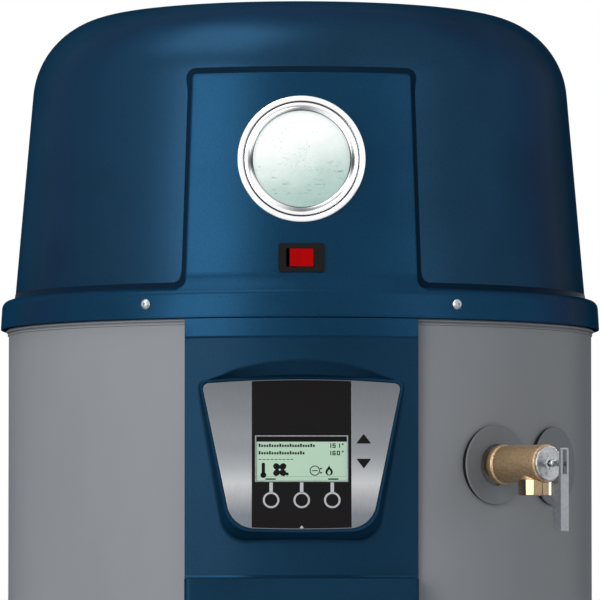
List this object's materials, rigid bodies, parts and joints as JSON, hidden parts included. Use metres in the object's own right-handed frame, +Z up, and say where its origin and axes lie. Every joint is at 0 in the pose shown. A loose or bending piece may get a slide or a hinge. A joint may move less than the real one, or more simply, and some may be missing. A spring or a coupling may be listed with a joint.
{
  "type": "tank water heater",
  "caption": "Tall round tank water heater with a heat pump head: domed shroud, front control panel, relief valve with lever, drain valve and pipe ports.",
  "frame": {"origin": "on the tank's axis, on the floor, at the middle of the base pan's underside", "axes": "+Z up, front with the control panel towards -Y, relief valve and pipe ports towards +X"},
  "size_m": [0.6845, 0.6894, 1.712],
  "materials": {
    "pan_steel": "satin",
    "tank_enamel": "satin enamel",
    "raw_steel": "plain",
    "foam": "foam",
    "jacket_paint": "satin",
    "brass_fitting": "machined",
    "magnesium": "dull",
    "white_plastic": "moulded",
    "black_plastic": "moulded",
    "aluminium_tube": "drawn",
    "cast_brass": "sand cast",
    "satin_steel": "satin",
    "black_paint": "satin",
    "rubber": "matte",
    "zinc": "zinc plated",
    "fin_aluminium": "thin sheet",
    "copper": "drawn",
    "filter_plastic": "moulded",
    "blue_plastic": "fine grain",
    "badge_chrome": "bright",
    "badge_face": "domed gloss",
    "red_plastic": "gloss",
    "brushed_stainless": "brushed",
    "gloss_black": "satin",
    "lcd_border": "satin",
    "lcd_face": "display",
    "board_green": "lacquered"
  },
  "bodies": {
    "root": {"base_pan": "pan_steel", "tank_shell": "tank_enamel", "tank_top_head": "tank_enamel", "tank_bottom_head": "tank_enamel", "tank_spuds": "raw_steel", "foam_insulation": "foam", "outer_jacket": "jacket_paint", "jacket_top_cap": "jacket_paint", "port_escutcheons": "jacket_paint", "water_nipples": "brass_fitting", "anode_rod": "magnesium", "inlet_diffuser": "white_plastic", "heating_elements": "raw_steel", "thermostats": "black_plastic", "thermostat_brackets": "raw_steel", "condenser_coil": "aluminium_tube", "relief_body": "cast_brass", "relief_cap": "satin_steel", "relief_probe": "brass_fitting", "drain_valve_body": "cast_brass", "compressor": "black_paint", "compressor_grommets": "rubber", "compressor_bolts": "zinc", "evaporator_fins": "fin_aluminium", "evaporator_tubes": "copper", "condensate_pan": "white_plastic", "fan_shroud": "zinc", "fan_motor": "black_paint", "filter_rails": "zinc", "filter_drier": "copper", "expansion_valve": "brass_fitting", "refrigerant_lines": "copper", "shroud": "blue_plastic", "front_cover": "blue_plastic", "cover_screws": "zinc", "badge_ring": "badge_chrome", "badge_disc": "badge_face", "rocker_housing": "black_plastic", "control_cover": "blue_plastic", "control_bezel": "brushed_stainless", "control_fascia": "gloss_black", "lcd_frame": "lcd_border", "lcd_module": "lcd_face", "control_board": "board_green", "lower_cover": "blue_plastic", "junction_box": "jacket_paint", "junction_box_cover": "jacket_paint"},
    "fan": {"fan_rotor": "black_plastic"},
    "filter": {"air_filter": "filter_plastic"},
    "rocker": {"rocker_switch": "red_plastic"},
    "relief_spindle": {"relief_stem": "brass_fitting", "relief_lever_pin": "satin_steel", "relief_spring": "raw_steel"},
    "relief_handle": {"relief_lever": "satin_steel"},
    "drain_knob": {"drain_valve_knob": "black_plastic"},
    "key_left": {"left_key": "gloss_black"},
    "key_middle": {"middle_key": "gloss_black"},
    "key_right": {"right_key": "gloss_black"},
    "key_up": {"up_key": "gloss_black"},
    "key_down": {"down_key": "gloss_black"}
  },
  "joints": [
    {"name": "fan_spin", "type": "hinge", "parent": "root", "child": "fan", "pos_m": [0, 0.112, 1.485], "axis": [0, 1, 0], "continuous": true},
    {"name": "filter_draw", "type": "slide", "parent": "root", "child": "filter", "axis": [0, 0, 1], "range_m": [0, 0.25]},
    {"name": "rocker_tilt", "type": "hinge", "parent": "root", "child": "rocker", "pos_m": [-0.0015, -0.29797, 1.4277], "axis": [0, 0, 1], "range_deg": [-18, 0]},
    {"name": "relief_lift", "type": "slide", "parent": "root", "child": "relief_spindle", "axis": [0.6361, -0.7716, 0], "range_m": [0, 0.003], "stiffness_N_per_m": 2000},
    {"name": "lever_raise", "type": "hinge", "parent": "relief_spindle", "child": "relief_handle", "pos_m": [0.26016, -0.31559, 1.22], "axis": [-0.7716, -0.6361, 0], "range_deg": [0, 85]},
    {"name": "drain_turn", "type": "hinge", "parent": "root", "child": "drain_knob", "pos_m": [0.29751, -0.07972, 0.12], "axis": [0.9659, -0.2588, 0], "range_deg": [0, 360]},
    {"name": "key_left_press", "type": "slide", "parent": "root", "child": "key_left", "axis": [0, 0.9806, -0.1959], "range_m": [0, 0.0008], "stiffness_N_per_m": 400},
    {"name": "key_middle_press", "type": "slide", "parent": "root", "child": "key_middle", "axis": [0, 0.9806, -0.1959], "range_m": [0, 0.0008], "stiffness_N_per_m": 400},
    {"name": "key_right_press", "type": "slide", "parent": "root", "child": "key_right", "axis": [0, 0.9806, -0.1959], "range_m": [0, 0.0008], "stiffness_N_per_m": 400},
    {"name": "key_up_press", "type": "slide", "parent": "root", "child": "key_up", "axis": [0, 0.9806, -0.1959], "range_m": [0, 0.0008], "stiffness_N_per_m": 400},
    {"name": "key_down_press", "type": "slide", "parent": "root", "child": "key_down", "axis": [0, 0.9806, -0.1959], "range_m": [0, 0.0008], "stiffness_N_per_m": 400}
  ],
  "couplings": [
    {"joint": "lever_raise", "follows": "relief_lift", "rad_per_m": 494.5}
  ]
}
